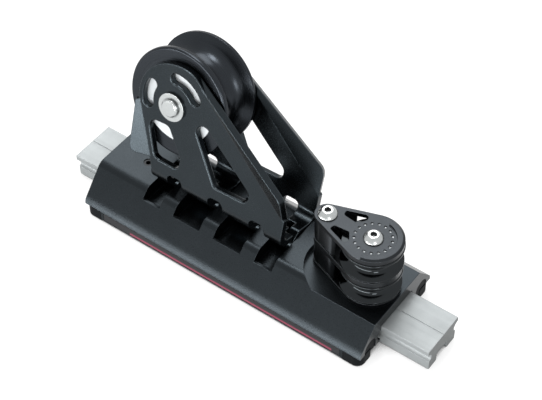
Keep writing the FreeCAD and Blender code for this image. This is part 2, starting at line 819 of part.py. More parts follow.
def make_cheek(label, side):
    """One folded cheek of the head, with curled fingers whose eyes ride on the hinge pin."""
    body = new_body(label, HEAD_PLACE)
    plate = new_sketch(body, "XZ_Plane", f"{-side} * {CHEEK_IN}")
    outline(plate, [
        corner(CHEEK_LEFT, "curl_rise"),
        corner(CHEEK_RIGHT, "curl_rise"),
        corner(*RIGHT_FOLD_END),
        corner(*RIGHT_FOLD_TOP, arc=(CHEEK_ROUND_X, "axle_rise", 1)),
        corner(*LEFT_FOLD_TOP),
        corner(*LEFT_FOLD_END),
    ])
    pad(body, plate, "cheek_thickness", backwards=side > 0)

    angle = value("wing_angle")
    left_tips = [(f"{AXLE_X} - left_wing_start", "axle_rise - left_wing_drop"),
                 (f"{CHEEK_LEFT} - left_wing_out", "left_wing_rise", "left_wing_round")]
    make_wing(body, side, LEFT_FOLD_TOP, LEFT_FOLD_END, left_tips, -angle)
    right_tips = [(f"{CHEEK_RIGHT} - right_wing_in", "right_wing_rise", "right_wing_round")]
    make_wing(body, side, RIGHT_FOLD_TOP, RIGHT_FOLD_END, right_tips, angle)

    curl = new_sketch(body, "YZ_Plane", CHEEK_LEFT)
    bend_y = f"({CHEEK_IN} - curl_radius)"
    strip_top = "(curl_rise - curl_radius)"
    strip_base = "(curl_rise - curl_radius - cheek_thickness)"
    outline(curl, [
        corner(f"{side} * {CHEEK_OUT}", "curl_rise"),
        corner(f"{side} * {CHEEK_IN}", "curl_rise",
               arc=(f"{side} * {bend_y}", "curl_rise", -side)),
        corner(f"{side} * {bend_y}", strip_top),
        corner(f"{side} * web_top", strip_top, "web_round"),
        corner(f"-{side} * {EYE_RADIUS} * cos(web_back_angle)",
               f"{EYE_RADIUS} * sin(web_back_angle)", arc=("0", "0", side)),
        corner(f"{side} * {EYE_RADIUS} * cos(web_front_angle)",
               f"{EYE_RADIUS} * sin(web_front_angle)"),
        corner(f"{side} * web_reach", strip_base),
        corner(f"{side} * {bend_y}", strip_base,
               arc=(f"{side} * {bend_y}", "curl_rise", side)),
    ])
    pad(body, curl, f"{CHEEK_RIGHT} - {CHEEK_LEFT}")

    eyes = new_sketch(body, "YZ_Plane", CHEEK_LEFT)
    circle(eyes, "0", "0", "pin_radius + running_clearance")
    pocket(body, eyes, backwards=True)

    other_half = new_sketch(body, "XY_Plane")
    for left, right in slot_edges():
        middle = f"(({left} + {right}) / 2)"
        low, high = (f"{middle} - finger_gap / 2", f"{right} + finger_gap / 2")
        if side > 0:
            low, high = (f"{left} - finger_gap / 2", f"{middle} + finger_gap / 2")
        own, other = (f"{side} * knuckle_half", f"-{side} * 2 * knuckle_half")
        bottom, top = (other, own) if side > 0 else (own, other)
        rectangle(other_half, low, high, bottom, top)
    pocket(body, other_half, symmetric=True)

    openings = new_sketch(body, "XZ_Plane")
    for left, right in tooth_edges():
        outline(openings, [
            corner(f"{left} - finger_gap", f"-2 * {EYE_RADIUS}"),
            corner(f"{right} + finger_gap", f"-2 * {EYE_RADIUS}"),
            corner(f"{right} + finger_gap", "opening_rise", "opening_round"),
            corner(f"{left} - finger_gap", "opening_rise", "opening_round"),
        ])
    pocket(body, openings, symmetric=True)

    doc.recompute()
    outer_y = side * value(CHEEK_OUT)
    before = outer_edges(local_shape(body), outer_y)
    windows = new_sketch(body, "XZ_Plane")
    window(windows, lower_window)
    window(windows, long_window)
    arc_slot(windows, "left_slot_from", "left_slot_to")
    arc_slot(windows, "right_slot_from", "right_slot_to")
    cut = pocket(body, windows, symmetric=True)
    doc.recompute()
    after = outer_edges(local_shape(body), outer_y)
    rims = [f"Edge{after[spot]}" for spot in after if spot not in before]
    chamfer = body.newObject("PartDesign::Chamfer", "rims")
    chamfer.Base = (cut, rims)
    chamfer.setExpression("Size", ref("rim_chamfer"))

    bore = new_sketch(body, "XZ_Plane")
    circle(bore, AXLE_X, "axle_rise", "axle_radius + running_clearance")
    pocket(body, bore, symmetric=True)


def local_shape(body):
    """A body's shape in the body's own frame."""
    return body.Tip.Shape


def turned_body(label, place, corners):
    """A round piece turned about its body's own Z from one outline of radius and height."""
    body = new_body(label, place)
    profile = new_sketch(body, "XZ_Plane")
    outline(profile, corners)
    axis_line(profile, "0", "0", "0", "axle_radius")
    turned(body, "Revolution", profile)
    return body


def make_axle():
    far_end = f"-({CHEEK_OUT} + washer_thickness + axle_thread)"
    head = f"({CHEEK_OUT} + washer_thickness)"
    top = f"({head} + axle_head_height)"
    turned_body("axle_pin", AXLE_PLACE, [
        corner("0", far_end),
        corner("axle_radius", far_end),
        corner("axle_radius", head),
        corner("axle_head_radius", head),
        corner("axle_head_radius", f"{top} - axle_head_chamfer"),
        corner("axle_head_radius - axle_head_chamfer", top),
        corner("0", top),
    ])
    hole = "axle_radius + running_clearance"
    tube("axle_washer_near", "washer_radius", hole, "washer_thickness", along_axle(CHEEK_OUT))
    tube("axle_washer_far", "washer_radius", hole, "washer_thickness",
         along_axle(f"-({CHEEK_OUT} + washer_thickness)"))
    tube("sheave_bush", "bush_radius", hole, "cheek_spacing", along_axle(f"-{CHEEK_IN}"))
    nut = new_body("axle_nut", along_axle(f"-({CHEEK_OUT} + washer_thickness + nut_height)"))
    section = new_sketch(nut, "XY_Plane")
    hexagon(section, "nut_flats")
    circle(section, "0", "0", "axle_radius")
    pad(nut, section, "nut_height")


def make_main_sheave():
    seat = "(ring_outer + running_clearance)"
    turned_body("main_sheave", AXLE_PLACE, [
        corner(SHEAVE_BORE, f"-{RING_SEAT}"),
        corner(seat, f"-{RING_SEAT}"),
        corner(seat, f"-{SHEAVE_HALF}"),
        corner("sheave_radius", f"-{SHEAVE_HALF}", "rim_round"),
        corner("sheave_radius", "-groove_mouth / 2"),
        corner("groove_radius", "-groove_bed / 2", "groove_round"),
        corner("groove_radius", "groove_bed / 2", "groove_round"),
        corner("sheave_radius", "groove_mouth / 2"),
        corner("sheave_radius", SHEAVE_HALF, "rim_round"),
        corner(seat, SHEAVE_HALF),
        corner(seat, RING_SEAT),
        corner(SHEAVE_BORE, RING_SEAT),
    ])
    tube("side_ring_near", "ring_outer", "ring_inner", "ring_thickness", along_axle(RING_SEAT))
    tube("side_ring_far", "ring_outer", "ring_inner", "ring_thickness",
         along_axle(f"-({RING_SEAT} + ring_thickness)"))
    rollers = []
    for number in range(int(value("roller_count"))):
        angle = f"(360 * {number} / roller_count)"
        place = AXLE_PLACE + " * " + moved(f"{ROLLER_CIRCLE} * cos({angle})",
                                           f"{ROLLER_CIRCLE} * sin({angle})",
                                           "-roller_length / 2")
        rollers.append(cylinder("roller", "roller_radius", "roller_length", place))
    compound("bearing_rollers", rollers)


def plate_outline(sketch):
    """The outline of a block plate: two circles joined by their outer tangents."""
    lean = "((tail_radius - plate_radius) / (block_axis - tail_axis))"
    rise = f"sqrt(1 - {lean}^2)"
    outline(sketch, [
        corner(f"block_axis + plate_radius * {lean}", f"-plate_radius * {rise}",
               arc=("block_axis", "0", 1)),
        corner(f"block_axis + plate_radius * {lean}", f"plate_radius * {rise}"),
        corner(f"tail_axis + tail_radius * {lean}", f"tail_radius * {rise}",
               arc=("tail_axis", "0", 1)),
        corner(f"tail_axis + tail_radius * {lean}", f"-tail_radius * {rise}"),
    ])


def make_block_plate(label, base, thickness, axle_hole):
    body = new_body(label)
    section = new_sketch(body, "XY_Plane", base)
    plate_outline(section)
    circle(section, "block_axis", "0", axle_hole)
    circle(section, "tail_axis", "0", SCREW_HOLE)
    pad(body, section, thickness)
    return body


def make_block_plates():
    make_block_plate("block_base_plate", "recess_floor", "base_plate", SCREW_HOLE)
    make_block_plate("block_middle_plate", MIDDLE_PLATE_Z, "middle_plate",
                     "tube_radius + running_clearance")
    cheek = make_block_plate("block_top_cheek", TOP_PLATE_Z, "top_plate", SCREW_HOLE)
    slots = new_sketch(cheek, "XY_Plane", BLOCK_TOP)
    for side in (-1, 1):
        outline(slots, [corner(f"block_axis + {along}", f"{side} * {across}", rounding)
                        for along, across, rounding in cheek_slot])
    pocket(cheek, slots, "top_plate")
    dimples = new_sketch(cheek, "XY_Plane", BLOCK_TOP)
    for number in range(int(value("dimple_count"))):
        angle = f"(360 * {number} / dimple_count)"
        circle(dimples, f"block_axis + dimple_circle * cos({angle})",
               f"dimple_circle * sin({angle})", "dimple_radius")
    pocket(cheek, dimples, "dimple_depth")
    rim = new_sketch(cheek, "XZ_Plane")
    outline(rim, [
        corner("block_axis + rim_inner", BLOCK_TOP),
        corner("block_axis + plate_radius", BLOCK_TOP),
        corner("block_axis + rim_flat", f"{BLOCK_TOP} + rim_rise"),
        corner("block_axis + rim_inner", f"{BLOCK_TOP} + rim_rise"),
    ])
    axis_line(rim, "block_axis", "0", "block_axis", BLOCK_TOP)
    crescent = turned(cheek, "Revolution", rim, 2 * value("rim_start_angle"))
    crescent.Midplane = True


def make_tail_spacers():
    height = "control_width + 2 * plate_gap"
    tube("tail_spacer_lower", "tail_post_radius", SCREW_HOLE, height,
         moved("tail_axis", "0", "recess_floor + base_plate"))
    tube("tail_spacer_upper", "tail_post_radius", SCREW_HOLE, height,
         moved("tail_axis", "0", f"{MIDDLE_PLATE_Z} + middle_plate"))


def make_control_sheave(label, base):
    """One sheave of the control block with the ring of balls that it runs on."""
    width = "control_width"
    turned_body(label, moved("block_axis", "0", base), [
        corner(CONTROL_BORE, "0"),
        corner("control_radius", "0", "control_rim_round"),
        corner("control_radius", f"({width} - control_mouth) / 2"),
        corner("control_groove_radius", f"({width} - control_bed) / 2", "control_groove_round"),
        corner("control_groove_radius", f"({width} + control_bed) / 2", "control_groove_round"),
        corner("control_radius", f"({width} + control_mouth) / 2"),
        corner("control_radius", width, "control_rim_round"),
        corner(CONTROL_BORE, width),
    ])
    balls = []
    for number in range(int(value("control_ball_count"))):
        angle = f"(360 * {number} / control_ball_count)"
        ball = doc.addObject("Part::Sphere", "ball")
        ball.setExpression("Radius", ref("control_ball_radius"))
        ball.setExpression("Placement", ref(moved(
            f"block_axis + {BALL_CIRCLE} * cos({angle})", f"{BALL_CIRCLE} * sin({angle})",
            f"{base} + control_width / 2")))
        balls.append(ball)
    compound(label + "_balls", balls)


def make_block_screws():
    """Two button-head socket screws through the whole block into the car."""
    bottom = "(recess_floor - screw_depth)"
    lip = "screw_head_lip"
    top_radius = "screw_head_top"
    dome = (f"(({top_radius}^2 + screw_head_height^2 - screw_head_radius^2 - {lip}^2)"
            f" / 2 / (screw_head_height - {lip}))")
    screws = []
    for place in ("block_axis", "tail_axis"):
        screw = doc.addObject("PartDesign::Body", "screw")
        screw.setExpression("Placement", ref(moved(place, "0", BLOCK_TOP)))
        profile = new_sketch(screw, "XZ_Plane")
        outline(profile, [
            corner("0", f"{bottom} - {BLOCK_TOP}"),
            corner("screw_radius", f"{bottom} - {BLOCK_TOP}"),
            corner("screw_radius", "0"),
            corner("screw_head_radius", "0"),
            corner("screw_head_radius", lip,
                   arc=("0", dome, 1)),
            corner(top_radius, "screw_head_height"),
            corner("0", "screw_head_height"),
        ])
        axis_line(profile, "0", "0", "0", "screw_head_height")
        turned(screw, "Revolution", profile)
        socket = new_sketch(screw, "XY_Plane", "screw_head_height")
        hexagon(socket, "screw_hex")
        pocket(screw, socket, "screw_hex_depth")
        screws.append(screw)
    compound("block_screws", screws)


SIDES = (("near", -1), ("far", 1))
ENDS = (("left", -1), ("right", 1))

make_track()
make_car_body()
for side_name, side_sign in SIDES:
    for end_name, end_sign in ENDS:
        make_end_cap(f"end_cap_{side_name}_{end_name}", side_sign, end_sign)
    make_ball_guide("ball_guide_" + side_name, side_sign)
    make_bearing_balls("bearing_balls_" + side_name, side_sign)
    make_label_strip("label_strip_" + side_name, side_sign)
make_hinge_pin()
make_keeper_screw()
for side_name, side_sign in SIDES:
    make_cheek("cheek_" + side_name, side_sign)
make_axle()
make_main_sheave()
make_block_plates()
make_tail_spacers()
tube("sheave_axle_tube", "tube_radius", SCREW_HOLE, f"{TOP_PLATE_Z} - recess_floor - base_plate",
     moved("block_axis", "0", "recess_floor + base_plate"))
make_control_sheave("lower_sheave", LOWER_SHEAVE_Z)
make_control_sheave("upper_sheave", UPPER_SHEAVE_Z)
make_block_screws()
doc.recompute()

faults = [f"{item.Name} of {[owner.Name for owner in item.InList]}: {item.getStatusString()}"
          for item in doc.Objects if "Invalid" in item.State or "Error" in item.State]
faults += [f"{node.Label}: shape not valid" for node in nodes
           if node.Shape.isNull() or not node.Shape.isValid()]
if faults:
    raise RuntimeError("; ".join(faults))

os.makedirs("parts", exist_ok=True)
for node in nodes:
    node.Shape.exportStep(f"parts/{node.Label}.step")
    print(f"{node.Label}: {len(node.Shape.Solids)} solids, {node.Shape.Volume:.1f} mm3")
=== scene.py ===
"""Mainsheet traveller car: its looks, light and camera around the fixed frame.

Everything is in metres in the frame of the solids: X along the track, Y across it, Z up from
the track's underside. The head leans over at rest, so the pieces on it are placed in the
head's own frame: origin on the hinge pin, X along it, Y from cheek to cheek, Z up the head.
"""
import json
import math

import bpy
from mathutils import Matrix, Vector


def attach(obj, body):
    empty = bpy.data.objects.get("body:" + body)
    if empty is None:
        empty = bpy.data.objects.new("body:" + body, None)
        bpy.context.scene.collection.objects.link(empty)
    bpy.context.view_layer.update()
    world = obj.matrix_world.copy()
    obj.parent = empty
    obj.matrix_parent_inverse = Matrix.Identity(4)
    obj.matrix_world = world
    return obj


MM = 0.001

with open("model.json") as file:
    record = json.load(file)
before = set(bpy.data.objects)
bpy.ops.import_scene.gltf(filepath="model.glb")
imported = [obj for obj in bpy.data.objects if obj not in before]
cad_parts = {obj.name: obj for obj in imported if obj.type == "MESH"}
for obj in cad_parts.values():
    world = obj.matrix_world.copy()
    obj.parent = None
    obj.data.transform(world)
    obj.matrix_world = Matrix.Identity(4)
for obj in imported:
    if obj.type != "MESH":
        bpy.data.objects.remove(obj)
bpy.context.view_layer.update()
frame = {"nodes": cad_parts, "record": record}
nodes = frame["nodes"]

# The head: its lean, the hinge, and the axle of the main sheave with Z along it
HEAD_LEAN = math.radians(15.3)
HINGE = Vector((0, 0, 22.0)) * MM
HEAD = Matrix.Translation(HINGE) @ Matrix.Rotation(-HEAD_LEAN, 4, "X")
MAIN_AXLE = HEAD @ Matrix.Translation(Vector((-47.2, 0, 53.5)) * MM) @ Matrix.Rotation(
    math.pi / 2, 4, "X")

# The control block: places along X, and heights
BLOCK_AXIS = 70.9 * MM
BLOCK_AXLE = Matrix.Translation(Vector((BLOCK_AXIS, 0, 0)))
PLATE_RADIUS = 15.2 * MM
TAIL_AXIS = 44.5 * MM
TAIL_RADIUS = 6.4 * MM
RECESS_FLOOR = 22.9 * MM
BASE_PLATE = 2.3 * MM
MIDDLE_PLATE = 3.1 * MM
SHEAVE_SPACE = 13.2 * MM
BLOCK_TOP = 57.2 * MM
DIMPLE_DEPTH = 0.8 * MM

# The thin walls round the block's tail
WALL_RADIUS = 5.9 * MM
WALL_THICKNESS = 0.9 * MM
WALL_REACH = 13.5 * MM
WALL_STEPS = 24

# The line along the label strips: its height, its ends, and half the widths of the line and
# of the band around it, each from where it starts to fade to where it has gone
LINE_HEIGHT = 2.6 * MM
LINE_START = -57.0 * MM
LINE_END = 70.0 * MM
LINE_FADE = 0.3 * MM
LINE_HALF = (0.4 * MM, 0.6 * MM)
BAND_HALF = (1.1 * MM, 1.3 * MM)

# The rolled lower sides: how far the normal tips up, by height, and where the roll fades
ROLL_HEIGHTS = (7.0 * MM, 11.5 * MM)
ROLL_TIPS = (0.50, 0.74)
UNDERCUT_HEIGHTS = (5.4 * MM, 7.2 * MM)
UNDERCUT_SHARES = (0.3, 1.0)
ROLL_OUT_FROM = (27.2 * MM, 28.2 * MM)
ROLL_BELOW = (11.0 * MM, 12.5 * MM)
ROLL_FACING = (0.5, 0.6)

# Spans over which a mask goes from nothing to full
ENDWAYS = (0.9, 0.95)
UPWARD = (0.8, 0.9)
SAME_LEVEL = (0.1 * MM, 0.15 * MM)
OPEN_FACES = (0.35, 0.85)
EDGE_COSINES = (0.995, 0.86)
NOISE_SPAN = (0.25, 0.75)
FILM_NOISE_SPAN = (0.3, 0.7)
FLOOR_OPEN = (0.30, 0.52)

# Each noise's scale and detail: the fine grains, and the broad changes of colour
DRAWN_STRETCH = (6.0, 900.0, 900.0)
DRAWN = (1.0, 4.0)
TURNED = (2600.0, 2.0)
BEADS = (2400.0, 2.0)
SKIN = (1800.0, 3.0)
FILM_GRAIN = (900.0, 3.0)
METAL_BROAD = (70.0, 4.0)
PLASTIC_BROAD = (60.0, 2.0)
NOISE_ROUGHNESS = 0.55

# How much smoother and rougher than its own roughness a material gets with its grain
METAL_SPREAD = (0.05, 0.07)
PLASTIC_SPREAD = (0.05, 0.08)
FILM_SPREAD = (0.06, 0.06)

BEVEL_SAMPLES = 6
COVER_SAMPLES = 8
# How dark the painted shade in recesses gets, as a share of the colour
HOLLOW_PAINTED_SHADE = 0.1

# Socket numbers of the mix node, whose sockets share their names
MIX_VECTORS, MIX_VECTOR = (4, 5), 1
MIX_COLOURS, MIX_COLOUR = (6, 7), 2

DARK_CAR = (0.022, 0.026, 0.029)
PALE_BALL = (0.62, 0.65, 0.67)
FILM_BLACK = (0.010, 0.011, 0.013)
FILM_BAND = (0.060, 0.018, 0.028)
FILM_CRIMSON = (0.26, 0.045, 0.080)


def scaled(colour, factor):
    return tuple(min(1.0, part * factor) for part in colour)


# Materials

class Wiring:
    """The nodes of a material or of the world, and the links between them."""

    def __init__(self, tree):
        self.tree = tree

    def add(self, kind, **settings):
        node = self.tree.nodes.new(kind)
        for key, setting in settings.items():
            setattr(node, key, setting)
        return node

    def link(self, output, target):
        self.tree.links.new(output, target)

    def math(self, operation, *values):
        """The result of a sum; each value is a number or the output of a node."""
        node = self.add("ShaderNodeMath", operation=operation)
        for socket, value in zip(node.inputs, values):
            if isinstance(value, float):
                socket.default_value = value
            else:
                self.link(value, socket)
        return node.outputs["Value"]

    def distance(self, value, other):
        """How far a value is from a number, whichever is the larger."""
        return self.math("ABSOLUTE", self.math("SUBTRACT", value, other))

    def ranged(self, value, low, high, new_low, new_high):
        """The value, taken from one span of numbers to another and held within it."""
        node = self.add("ShaderNodeMapRange")
        self.link(value, node.inputs["Value"])
        for key, number in (("From Min", low), ("From Max", high),
                            ("To Min", new_low), ("To Max", new_high)):
            node.inputs[key].default_value = number
        return node.outputs["Result"]

    def rising(self, value, span):
        """A mask that goes from nothing to full over a span of the value."""
        return self.ranged(value, *span, 0.0, 1.0)

    def falling(self, value, span):
        """A mask that goes from full to nothing over a span of the value."""
        return self.ranged(value, *span, 1.0, 0.0)

    def uncovered(self, reach):
        """How much of the open half space is free of other faces within a distance."""
        node = self.add("ShaderNodeAmbientOcclusion", samples=COVER_SAMPLES)
        node.inputs["Distance"].default_value = reach
        return node.outputs["AO"]

    def looked_at(self):
        """One for rays from the camera, a mirror-like face or glass, else nothing."""
        paths = self.add("ShaderNodeLightPath")
        seen = paths.outputs["Is Camera Ray"]
        for other in ("Is Glossy Ray", "Is Transmission Ray"):
            seen = self.math("MAXIMUM", seen, paths.outputs[other])
        return seen


class Surface(Wiring):
    """A material under construction: a principled shader and the nodes that feed it."""

    def __init__(self, name):
        self.material = bpy.data.materials.new(name)
        self.material.use_nodes = True
        super().__init__(self.material.node_tree)
        self.shader = self.tree.nodes["Principled BSDF"]
        self.coords = self.add("ShaderNodeTexCoord").outputs["Object"]

    def stretched(self, scale):
        """The object's coordinates, stretched by a factor along each axis."""
        node = self.add("ShaderNodeMapping")
        self.link(self.coords, node.inputs["Vector"])
        node.inputs["Scale"].default_value = scale
        return node.outputs["Vector"]

    def around(self, place):
        """Coordinates that depend only on the distance from an axis and the height along it."""
        node = self.add("ShaderNodeMapping", vector_type="TEXTURE")
        self.link(self.coords, node.inputs["Vector"])
        node.inputs["Location"].default_value = place.to_translation()
        node.inputs["Rotation"].default_value = place.to_euler()
        parts = self.parts(node.outputs["Vector"])
        flat = self.add("ShaderNodeCombineXYZ")
        self.link(parts["X"], flat.inputs["X"])
        self.link(parts["Y"], flat.inputs["Y"])
        length = self.add("ShaderNodeVectorMath", operation="LENGTH")
        self.link(flat.outputs["Vector"], length.inputs[0])
        joined = self.add("ShaderNodeCombineXYZ")
        self.link(length.outputs["Value"], joined.inputs["X"])
        self.link(parts["Z"], joined.inputs["Z"])
        return joined.outputs["Vector"]

    def parts(self, vector):
        """The three parts of a vector."""
        node = self.add("ShaderNodeSeparateXYZ")
        self.link(vector, node.inputs["Vector"])
        return node.outputs

    def facing(self):
        """The parts of the object's own normal."""
        return self.parts(self.add("ShaderNodeTexCoord").outputs["Normal"])

    def lengthwise(self):
        """A mask of the faces that look along X."""
        return self.rising(self.math("ABSOLUTE", self.facing()["X"]), ENDWAYS)

    def level_faces(self, height):
        """A mask of the faces that look up at one height."""
        level = self.falling(self.distance(self.parts(self.coords)["Z"], height), SAME_LEVEL)
        return self.math("MULTIPLY", level, self.rising(self.facing()["Z"], UPWARD))

    def rolled(self, normal):
        """The normal on the lower sides, where the slope rolls over towards the base."""
        place = self.parts(self.coords)
        facing = self.facing()
        tip = self.math("MULTIPLY", self.ranged(place["Z"], *ROLL_HEIGHTS, *ROLL_TIPS),
                        self.ranged(place["Z"], *UNDERCUT_HEIGHTS, *UNDERCUT_SHARES))
        tipped = self.add("ShaderNodeCombineXYZ")
        self.link(self.math("SIGN", facing["Y"]), tipped.inputs["Y"])
        self.link(tip, tipped.inputs["Z"])
        unit = self.add("ShaderNodeVectorMath", operation="NORMALIZE")
        self.link(tipped.outputs["Vector"], unit.inputs[0])
        world = self.add("ShaderNodeVectorTransform", vector_type="NORMAL",
                         convert_from="OBJECT", convert_to="WORLD")
        self.link(unit.outputs["Vector"], world.inputs["Vector"])
        outer = self.rising(self.math("ABSOLUTE", place["Y"]), ROLL_OUT_FROM)
        low = self.falling(place["Z"], ROLL_BELOW)
        across = self.rising(self.math("ABSOLUTE", facing["Y"]), ROLL_FACING)
        mask = self.math("MULTIPLY", self.math("MULTIPLY", outer, low), across)
        both = self.add("ShaderNodeMix", data_type="VECTOR")
        self.link(mask, both.inputs["Factor"])
        for number, vector in zip(MIX_VECTORS, (normal, world.outputs["Vector"])):
            self.link(vector, both.inputs[number])
        return both.outputs[MIX_VECTOR]

    def noise(self, vector, scale, detail):
        node = self.add("ShaderNodeTexNoise")
        self.link(vector, node.inputs["Vector"])
        node.inputs["Scale"].default_value = scale
        node.inputs["Detail"].default_value = detail
        node.inputs["Roughness"].default_value = NOISE_ROUGHNESS
        return node.outputs["Fac"]

    def mixed(self, factor, first, second):
        """A colour between two; each is a colour or the output of a node."""
        node = self.add("ShaderNodeMix", data_type="RGBA")
        self.link(factor, node.inputs["Factor"])
        for number, colour in zip(MIX_COLOURS, (first, second)):
            if isinstance(colour, tuple):
                node.inputs[number].default_value = colour + (1.0,)
            else:
                self.link(colour, node.inputs[number])
        return node.outputs[MIX_COLOUR]

    def varied(self, colour, spread, broad):
        """The colour, a little darker or lighter from place to place."""
        return self.mixed(self.noise(self.coords, *broad),
                          scaled(colour, 1.0 - spread), scaled(colour, 1.0 + spread))

    def edge_highlighted(self, base, colour, mask, edge_highlight_share, edge_highlight_gain):
        """The base colour, lightened at the edges towards a brighter copy of it: a painted
        highlight.
        """
        return self.mixed(self.ranged(mask, 0.0, 1.0, 0.0, edge_highlight_share), base,
                          scaled(colour, edge_highlight_gain))

    def edges(self, radius):
        """The rounded normal at the edges, and a mask of where they are."""
        bevel = self.add("ShaderNodeBevel", samples=BEVEL_SAMPLES)
        bevel.inputs["Radius"].default_value = radius
        geometry = self.add("ShaderNodeNewGeometry")
        dot = self.add("ShaderNodeVectorMath", operation="DOT_PRODUCT")
        self.link(bevel.outputs["Normal"], dot.inputs[0])
        self.link(geometry.outputs["Normal"], dot.inputs[1])
        return bevel.outputs["Normal"], self.rising(dot.outputs["Value"], EDGE_COSINES)

    def coloured(self, colour):
        self.link(colour, self.shader.inputs["Base Color"])

    def roughened(self, fine, span, roughness, spread):
        """A roughness that follows the fine grain."""
        smoother, rougher = spread
        self.link(self.ranged(fine, *span, roughness - smoother, roughness + rougher),
                  self.shader.inputs["Roughness"])

    def bumped(self, height, depth, normal, strength):
        node = self.add("ShaderNodeBump")
        node.inputs["Distance"].default_value = depth
        node.inputs["Strength"].default_value = strength
        self.link(height, node.inputs["Height"])
        self.link(normal, node.inputs["Normal"])
        self.link(node.outputs["Normal"], self.shader.inputs["Normal"])


def metal(name, colour, roughness, metallic=1.0, grain="beads", place=None,
          edge_radius=0.35 * MM, edge_highlight_gain=1.8, edge_highlight_share=0.5, depth=0.02 * MM, spread=0.12,
          cut_ends=None, rolled=False, painted_shade_reach=None, dimple_floor=None):
    """A machined or anodised metal with grain, small colour changes and edges lightened by a
    painted highlight.

    The grain is drawn along X, turned round the axis of a place, or even beads. cut_ends is the
    colour of the faces that look along X. Faces that other faces cover within a given reach are
    darkened with painted shade, as in narrow recesses. The faces at the height dimple_floor are
    pale balls.
    """
    surface = Surface(name)
    if grain == "drawn":
        fine = surface.noise(surface.stretched(DRAWN_STRETCH), *DRAWN)
    elif grain == "turned":
        fine = surface.noise(surface.around(place), *TURNED)
    else:
        fine = surface.noise(surface.coords, *BEADS)
    base = surface.varied(colour, spread, METAL_BROAD)
    if cut_ends is not None:
        base = surface.mixed(surface.lengthwise(), base, cut_ends)
    normal, mask = surface.edges(edge_radius)
    if rolled:
        normal = surface.rolled(normal)
    # Painted highlight: the edges are lightened towards a brighter copy of the colour.
    base = surface.edge_highlighted(base, colour, mask, edge_highlight_share, edge_highlight_gain)
    # Painted shade: faces that other faces cover closely are darkened towards a dark copy of
    # the colour.
    if painted_shade_reach is not None:
        base = surface.mixed(surface.rising(surface.uncovered(painted_shade_reach), OPEN_FACES),
                             scaled(colour, HOLLOW_PAINTED_SHADE), base)
    if dimple_floor is not None:
        base = surface.mixed(surface.level_faces(dimple_floor), base, PALE_BALL)
    surface.coloured(base)
    surface.roughened(fine, NOISE_SPAN, roughness, METAL_SPREAD)
    surface.shader.inputs["Metallic"].default_value = metallic
    surface.bumped(fine, depth, normal, strength=0.35)
    return surface.material


def plastic(name, colour, roughness, coat=0.0, specular=0.5, edge_radius=0.3 * MM,
            edge_highlight_gain=1.5, edge_highlight_share=0.25, depth=0.015 * MM, spread=0.08):
    """A moulded plastic with a fine skin and softly rounded edges."""
    surface = Surface(name)
    fine = surface.noise(surface.coords, *SKIN)
    base = surface.varied(colour, spread, PLASTIC_BROAD)
    normal, mask = surface.edges(edge_radius)
    # Painted highlight along the edges, as on the metals.
    surface.coloured(surface.edge_highlighted(base, colour, mask, edge_highlight_share, edge_highlight_gain))
    surface.roughened(fine, NOISE_SPAN, roughness, PLASTIC_SPREAD)
    surface.shader.inputs["Coat Weight"].default_value = coat
    surface.shader.inputs["Specular IOR Level"].default_value = specular
    surface.bumped(fine, depth, normal, strength=0.4)
    return surface.material


def label_film(name, roughness, specular, depth):
    """The bare black strip with one crimson line along most of it, in a darker band.

    The far strip is the near one turned round, so its line starts from the other end.
    """
    surface = Surface(name)
    place = surface.parts(surface.coords)
    side = surface.math("SIGN", surface.math("MULTIPLY", place["Y"], -1.0))
    along = surface.math("MULTIPLY", place["X"], side)
    inside = surface.math("MULTIPLY",
                          surface.rising(along, (LINE_START - LINE_FADE, LINE_START)),
                          surface.falling(along, (LINE_END, LINE_END + LINE_FADE)))
    away = surface.distance(place["Z"], LINE_HEIGHT)
    band = surface.math("MULTIPLY", inside, surface.falling(away, BAND_HALF))
    line = surface.math("MULTIPLY", inside, surface.falling(away, LINE_HALF))
    ground = surface.mixed(band, FILM_BLACK, FILM_BAND)
    surface.coloured(surface.mixed(line, ground, FILM_CRIMSON))
    fine = surface.noise(surface.coords, *FILM_GRAIN)
    surface.roughened(fine, FILM_NOISE_SPAN, roughness, FILM_SPREAD)
    surface.shader.inputs["Specular IOR Level"].default_value = specular
    plain = surface.add("ShaderNodeNewGeometry").outputs["Normal"]
    surface.bumped(fine, depth, surface.rolled(plain), strength=0.3)
    return surface.material


